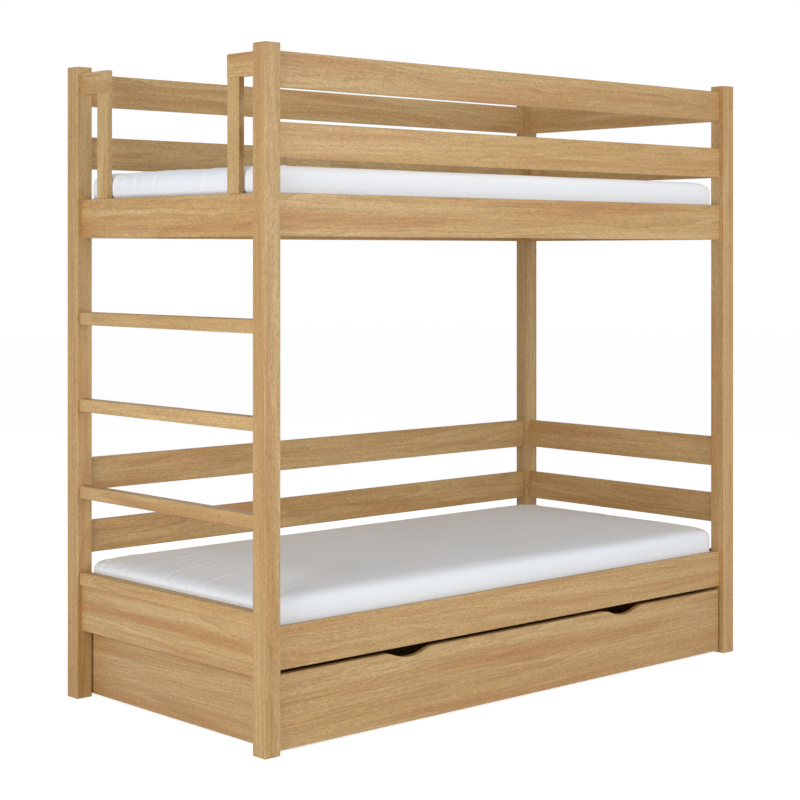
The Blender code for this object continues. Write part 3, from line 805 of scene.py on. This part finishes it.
# Slat bases: planed pine slats stapled to two webbing straps
slats = {
    "count": 14,
    "wideMm": 70,
    "thickMm": 18,
    "edgeMm": 3.0,
    "strapY": 0.3557,  # in metres, from the middle of the bed
    "strapWideMm": 25,
    "strapGapMm": 0.1,
    "strapColour": "#D8D2C4",
    "strapRibMm": 2.4,
    "strapShade": (0.85, 1.03),
    "stapleLongMm": 10,
    "stapleWireMm": 1.2,
    "stapleProudMm": 0.6,
    "stapleSpreadMm": 12,
    "thinEdgeMm": 0.4,
}


def webbingMaterial():
    # woven polypropylene webbing: off-white, with ribs across the strap
    material, tree, shader = newMaterial("woven_polypropylene", Roughness=0.7, Sheen_Weight=0.2)
    place = addNode(tree, "ShaderNodeTexCoord").outputs["Object"]
    parts = addNode(tree, "ShaderNodeSeparateXYZ", {0: place}).outputs
    turnsPerMetre = 2 * math.pi * 1000 / slats["strapRibMm"]
    angle = addNode(tree, "ShaderNodeMath", {0: parts[0], 1: turnsPerMetre}, operation="MULTIPLY")
    ribs = addNode(tree, "ShaderNodeMath", {0: angle}, operation="SINE")
    darkest, lightest = slats["strapShade"]
    inputs = {"Value": ribs, "From Min": -1.0, "From Max": 1.0, "To Min": darkest, "To Max": lightest}
    shade = addNode(tree, "ShaderNodeMapRange", inputs)
    tint = linearColour(slats["strapColour"])
    colour = addNode(tree, "ShaderNodeHueSaturation", {"Value": shade, "Color": tint})
    tree.links.new(colour.outputs[0], shader.inputs["Base Color"])
    bump = addNode(tree, "ShaderNodeBump", {"Height": ribs, "Strength": 0.5, "Distance": 0.3 * mm})
    tree.links.new(bump.outputs[0], shader.inputs["Normal"])
    return material


steelFinish = {"dull": "#B9BCC0", "bright": "#D2D3D2", "cloudMm": 4.55, "roughness": (0.24, 0.42)}


def steelMaterial():
    # zinc-plated steel: bright, cool grey, with a faint cloudy passivation
    material, tree, shader = newMaterial("zinc_plated_steel", Metallic=1.0, Roughness=0.3)
    place = addNode(tree, "ShaderNodeTexCoord").outputs["Object"]
    inputs = {"Vector": place, "Scale": 1000 / steelFinish["cloudMm"], "Detail": 2.0}
    clouds = addNode(tree, "ShaderNodeTexNoise", inputs).outputs["Fac"]
    dull, bright = linearColour(steelFinish["dull"]), linearColour(steelFinish["bright"])
    colour = addNode(tree, "ShaderNodeMix", {"Factor": clouds, "A": dull, "B": bright}, data_type="RGBA")
    tree.links.new(colour.outputs[2], shader.inputs["Base Color"])
    least, most = steelFinish["roughness"]
    rough = addNode(tree, "ShaderNodeMapRange", {"Value": clouds, "To Min": least, "To Max": most})
    tree.links.new(rough.outputs[0], shader.inputs["Roughness"])
    return material


steel = steelMaterial()
webbing = webbingMaterial()


def addSlatBase(bunk, index):
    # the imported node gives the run: its slats reach across it and stop at its ends
    low, high = (Vector(corner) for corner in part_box("slats_" + bunk))
    count, width, thickness = slats["count"], slats["wideMm"] * mm, slats["thickMm"] * mm
    top, bottom = high.z, high.z - thickness
    pitch = (high.x - low.x - width) / (count - 1)
    strapY, halfStrap, thinEdge = slats["strapY"], slats["strapWideMm"] / 2 * mm, slats["thinEdgeMm"] * mm
    halfLong, halfWire = slats["stapleLongMm"] / 2 * mm, slats["stapleWireMm"] / 2 * mm
    halfSpread, proud = slats["stapleSpreadMm"] / 2 * mm, slats["stapleProudMm"] * mm
    wood = bmesh.new()
    staples = bmesh.new()
    for step in range(count):
        x = low.x + width / 2 + step * pitch
        near, far = (x - width / 2, low.y, bottom), (x + width / 2, high.y, top)
        addBar(wood, near, far, slats["edgeMm"] * mm, segments=3)
        for sign in (-1, 1):
            for spread in (-halfSpread, halfSpread):
                y = sign * strapY + spread
                near = (x - halfLong, y - halfWire, low.z - proud)
                addBar(staples, near, (x + halfLong, y + halfWire, bottom), thinEdge)
    bare = woodMaterial("planed_pine_slats_" + bunk, pine, "slats_" + bunk, index)
    base = finishMesh("slatRoll_" + bunk, wood, bare)
    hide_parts("slats_" + bunk)
    clips = finishMesh("slatStaples_" + bunk, staples, steel)
    for side, sign in (("front", -1), ("back", 1)):
        strap = bmesh.new()
        y = sign * strapY
        near = (low.x + width / 2, y - halfStrap, low.z)
        far = (high.x - width / 2, y + halfStrap, bottom - slats["strapGapMm"] * mm)
        addBar(strap, near, far, thinEdge)
        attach(finishMesh(f"slatStrap_{bunk}_{side}", strap, webbing), "bed")
    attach(base, "bed")
    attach(clips, "bed")


for index, bunk in enumerate(("lower", "upper")):
    addSlatBase(bunk, index)
print("slat bases made")


# Screws: countersunk cross-head wood screws through the ledgers, and pan heads in the castor plates
screws = {
    "headMm": 7.6,
    "highMm": 0.9,
    "sides": 20,
    "topShare": 0.72,
    "rimShare": 0.28,
    "crossShare": 0.45,  # how far the head's facets are drawn in between the arms of the cross
    "sunkShare": 0.6,
    "perLedger": 8,
    "intoMm": 0.5,
}


def addScrewHead(shape, centre, outward, high=screws["highMm"] * mm):
    # a shallow domed head with a cross recess, facing outward
    radius = screws["headMm"] / 2 * mm
    made = bmesh.ops.create_cone(
        shape,
        cap_ends=True,
        segments=screws["sides"],
        radius1=radius,
        radius2=radius * screws["topShare"],
        depth=high,
        matrix=Matrix.Translation((0, 0, high / 2)),
    )["verts"]
    cap = max((f for v in made for f in v.link_faces), key=lambda f: f.calc_center_median().z)
    inner = bmesh.ops.inset_individual(shape, faces=[cap], thickness=radius * screws["rimShare"])["faces"]
    verts = [*made, *(v for f in inner for v in f.verts), *cap.verts]
    deep = screws["crossShare"]
    for vert in cap.verts:  # every fifth corner stays out, which leaves a cross
        place = math.atan2(vert.co.y, vert.co.x) * 2
        vert.co.x *= 1 - deep + deep * abs(math.cos(place))
        vert.co.y *= 1 - deep + deep * abs(math.cos(place))
    sunk = bmesh.ops.extrude_discrete_faces(shape, faces=[cap])["faces"]
    for face in sunk:
        verts += face.verts
        bmesh.ops.translate(shape, vec=(0, 0, -screws["sunkShare"] * high), verts=face.verts)
    turn = Vector((0, 0, 1)).rotation_difference(Vector(outward)).to_matrix().to_4x4()
    bmesh.ops.transform(shape, matrix=Matrix.Translation(centre) @ turn, verts=inOrder(verts))


def addLedgerScrews():
    shape = bmesh.new()
    for bunk in ("lower", "upper"):
        for side, sign in (("front", 1), ("back", -1)):
            low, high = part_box(f"ledger_{bunk}_{side}")
            y = high[1] if sign > 0 else low[1]
            for step in range(screws["perLedger"]):
                x = low[0] + (high[0] - low[0]) * (step + 0.5) / screws["perLedger"]
                centre = (x, y - sign * screws["intoMm"] * mm, (low[2] + high[2]) / 2)
                addScrewHead(shape, centre, (0, sign, 0))
    piece = finishMesh("ledgerScrews", shape, steel)
    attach(piece, "bed")


addLedgerScrews()


# Castors: black nylon housings, grey wheels with a darker tread, zinc-plated axles
castor = {
    "housing": "#1D1D1F",
    "grainMm": 0.7,  # spark-eroded grain is about 0.1 mm; coarser here so that it shows
    "hub": "#8C8E90",
    "tread": "#4B4C4F",
    "treadFromMm": 16.0,
    "seamMm": 0.2,
    "treadGrainMm": 0.555,  # coarser than the real tread's too
    "treadShade": (0.9, 1.1),
    "wheelRoughness": (0.42, 0.7),  # hub, tread
    "housingShade": (0.8, 1.25),
    "screwHighMm": 1.4,
    "screwInMm": 6.5,  # from the plate's ends to its screws
    "plateMm": 2.5,  # its thickness: the screws' heads lie under it
}


def nylonMaterial():
    # glass-filled nylon, injection moulded: near black, with a fine eroded grain
    material, tree, shader = newMaterial("moulded_nylon", Roughness=0.5)
    place = addNode(tree, "ShaderNodeTexCoord").outputs["Object"]
    # one cell of the noise is a grain and the hollow beside it
    inputs = {"Vector": place, "Scale": 1000 / (2 * castor["grainMm"]), "Detail": 2.0}
    grain = addNode(tree, "ShaderNodeTexNoise", inputs).outputs["Fac"]
    darkest, lightest = castor["housingShade"]
    shade = addNode(tree, "ShaderNodeMapRange", {"Value": grain, "To Min": darkest, "To Max": lightest})
    inputs = {"Value": shade, "Color": linearColour(castor["housing"])}
    colour = addNode(tree, "ShaderNodeHueSaturation", inputs)
    tree.links.new(colour.outputs[0], shader.inputs["Base Color"])
    bump = addNode(tree, "ShaderNodeBump", {"Height": grain, "Strength": 0.4, "Distance": 0.1 * mm})
    tree.links.new(bump.outputs[0], shader.inputs["Normal"])
    return material


def wheelMaterial(node):
    # moulded polypropylene hub with a soft grey tread, split by the distance from the axle
    material, tree, shader = newMaterial("moulded_polypropylene_" + node, Roughness=0.5)
    low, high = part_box(node)
    centre = (Vector(low) + Vector(high)) / 2
    place = addNode(tree, "ShaderNodeTexCoord").outputs["Object"]
    moved = addNode(tree, "ShaderNodeMapping", {"Vector": place, "Location": -centre})
    parts = addNode(tree, "ShaderNodeSeparateXYZ", {0: moved}).outputs
    flat = addNode(tree, "ShaderNodeCombineXYZ", {"Y": parts[1], "Z": parts[2]})
    radius = addNode(tree, "ShaderNodeVectorMath", {0: flat}, operation="LENGTH").outputs["Value"]
    edge, seam = castor["treadFromMm"] * mm, castor["seamMm"] * mm
    share = addNode(
        tree, "ShaderNodeMapRange", {"Value": radius, "From Min": edge - seam, "From Max": edge + seam}
    )
    inputs = {"Vector": place, "Scale": 1000 / (2 * castor["treadGrainMm"]), "Detail": 2.0}
    grain = addNode(tree, "ShaderNodeTexNoise", inputs).outputs["Fac"]
    inputs = {"Factor": share, "A": linearColour(castor["hub"]), "B": linearColour(castor["tread"])}
    colour = addNode(tree, "ShaderNodeMix", inputs, data_type="RGBA")
    darkest, lightest = castor["treadShade"]
    shade = addNode(tree, "ShaderNodeMapRange", {"Value": grain, "To Min": darkest, "To Max": lightest})
    colour = addNode(tree, "ShaderNodeHueSaturation", {"Value": shade, "Color": colour})
    tree.links.new(colour.outputs[0], shader.inputs["Base Color"])
    hub, tread = castor["wheelRoughness"]
    rough = addNode(tree, "ShaderNodeMapRange", {"Value": share, "To Min": hub, "To Max": tread})
    tree.links.new(rough.outputs[0], shader.inputs["Roughness"])
    return material


nylon = nylonMaterial()
for node in nodesWith("castor_housing"):
    dress(node, nylon)
for node in nodesWith("castor_wheel"):
    dress(node, wheelMaterial(node))
for node in nodesWith("axle_steel"):
    dress(node, steel)


def addCastorScrews():
    shape = bmesh.new()
    for node in nodesWith("castor_housing"):
        low, high = (Vector(corner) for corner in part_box(node))
        centre = (low + high) / 2
        inwards = castor["screwInMm"] * mm
        for x in (low.x + inwards, high.x - inwards):
            place = (x, centre.y, high.z - castor["plateMm"] * mm)
            addScrewHead(shape, place, (0, 0, -1), castor["screwHighMm"] * mm)
    piece = finishMesh("castorScrews", shape, steel)
    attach(piece, "drawer")


addCastorScrews()
print("castors and screws finished")


# Stage: a pale floor that melts into a white background and keeps a soft shadow
stage = {"floorSize": 40.0, "glow": 0.76, "floor": "#E8E8E8"}


def floorMaterial():
    # matt paper: seen directly it is close to white, and it lights the bed as pale grey
    material, tree, shader = newMaterial("white_paper_floor", Roughness=0.9)
    shader.inputs["Base Color"].default_value = linearColour(stage["floor"])
    rays = addNode(tree, "ShaderNodeLightPath").outputs
    inputs = {0: rays["Is Glossy Ray"], 1: rays["Is Transmission Ray"]}
    seen = addNode(tree, "ShaderNodeMath", inputs, operation="MAXIMUM")
    seen = addNode(tree, "ShaderNodeMath", {0: rays["Is Camera Ray"], 1: seen}, operation="MAXIMUM")
    glow = addNode(tree, "ShaderNodeEmission", {"Strength": stage["glow"]})
    both = addNode(tree, "ShaderNodeAddShader", {0: shader.outputs[0], 1: glow})
    chosen = addNode(tree, "ShaderNodeMixShader", {0: seen, 1: shader.outputs[0], 2: both})
    tree.links.new(chosen.outputs[0], tree.nodes["Material Output"].inputs["Surface"])
    return material


floorShape = bmesh.new()
bmesh.ops.create_grid(floorShape, x_segments=1, y_segments=1, size=stage["floorSize"] / 2)
floor = finishMesh("floor", floorShape, floorMaterial(), smoothAngle=0)

# Light: two large soft lamps, a small one over the bed, and a pale world
light = {
    "ambient": 0.20,
    "aim": (0, 0, 0.9),
    "front": {"place": (0.15, -3.6, 1.7), "size": (4.0, 2.0), "power": 73},
    "left": {"place": (-3.9, -0.8, 1.15), "size": (2.5, 2.0), "power": 69},
    "top": {"place": (0.0, -0.1, 4.2), "size": (1.6, 0.8), "power": 30},
}
world = bpy.data.worlds.new("studio")
scene.world = world
world.use_nodes = True
worldTree = world.node_tree
worldRays = addNode(worldTree, "ShaderNodeLightPath").outputs
inputs = {0: worldRays["Is Glossy Ray"], 1: worldRays["Is Transmission Ray"]}
worldSeen = addNode(worldTree, "ShaderNodeMath", inputs, operation="MAXIMUM")
inputs = {0: worldRays["Is Camera Ray"], 1: worldSeen}
worldSeen = addNode(worldTree, "ShaderNodeMath", inputs, operation="MAXIMUM")
inputs = {0: worldSeen, 1: 1.0 - light["ambient"], 2: light["ambient"]}
strength = addNode(worldTree, "ShaderNodeMath", inputs, operation="MULTIPLY_ADD")
background = worldTree.nodes["Background"]
background.inputs["Color"].default_value = (1.0, 1.0, 1.0, 1.0)
worldTree.links.new(strength.outputs[0], background.inputs["Strength"])

for name in ("front", "left", "top"):
    lamp = bpy.data.lights.new(name + "Lamp", "AREA")
    lamp.shape = "RECTANGLE"
    lamp.size, lamp.size_y = light[name]["size"]
    lamp.energy = light[name]["power"]
    lampObject = bpy.data.objects.new(name + "Lamp", lamp)
    lampObject.location = light[name]["place"]
    aim = Vector(light["aim"]) - Vector(light[name]["place"])
    lampObject.rotation_euler = aim.to_track_quat("-Z", "Y").to_euler()
    lampObject.visible_camera = False
    scene.collection.objects.link(lampObject)
print("stage and lamps placed")
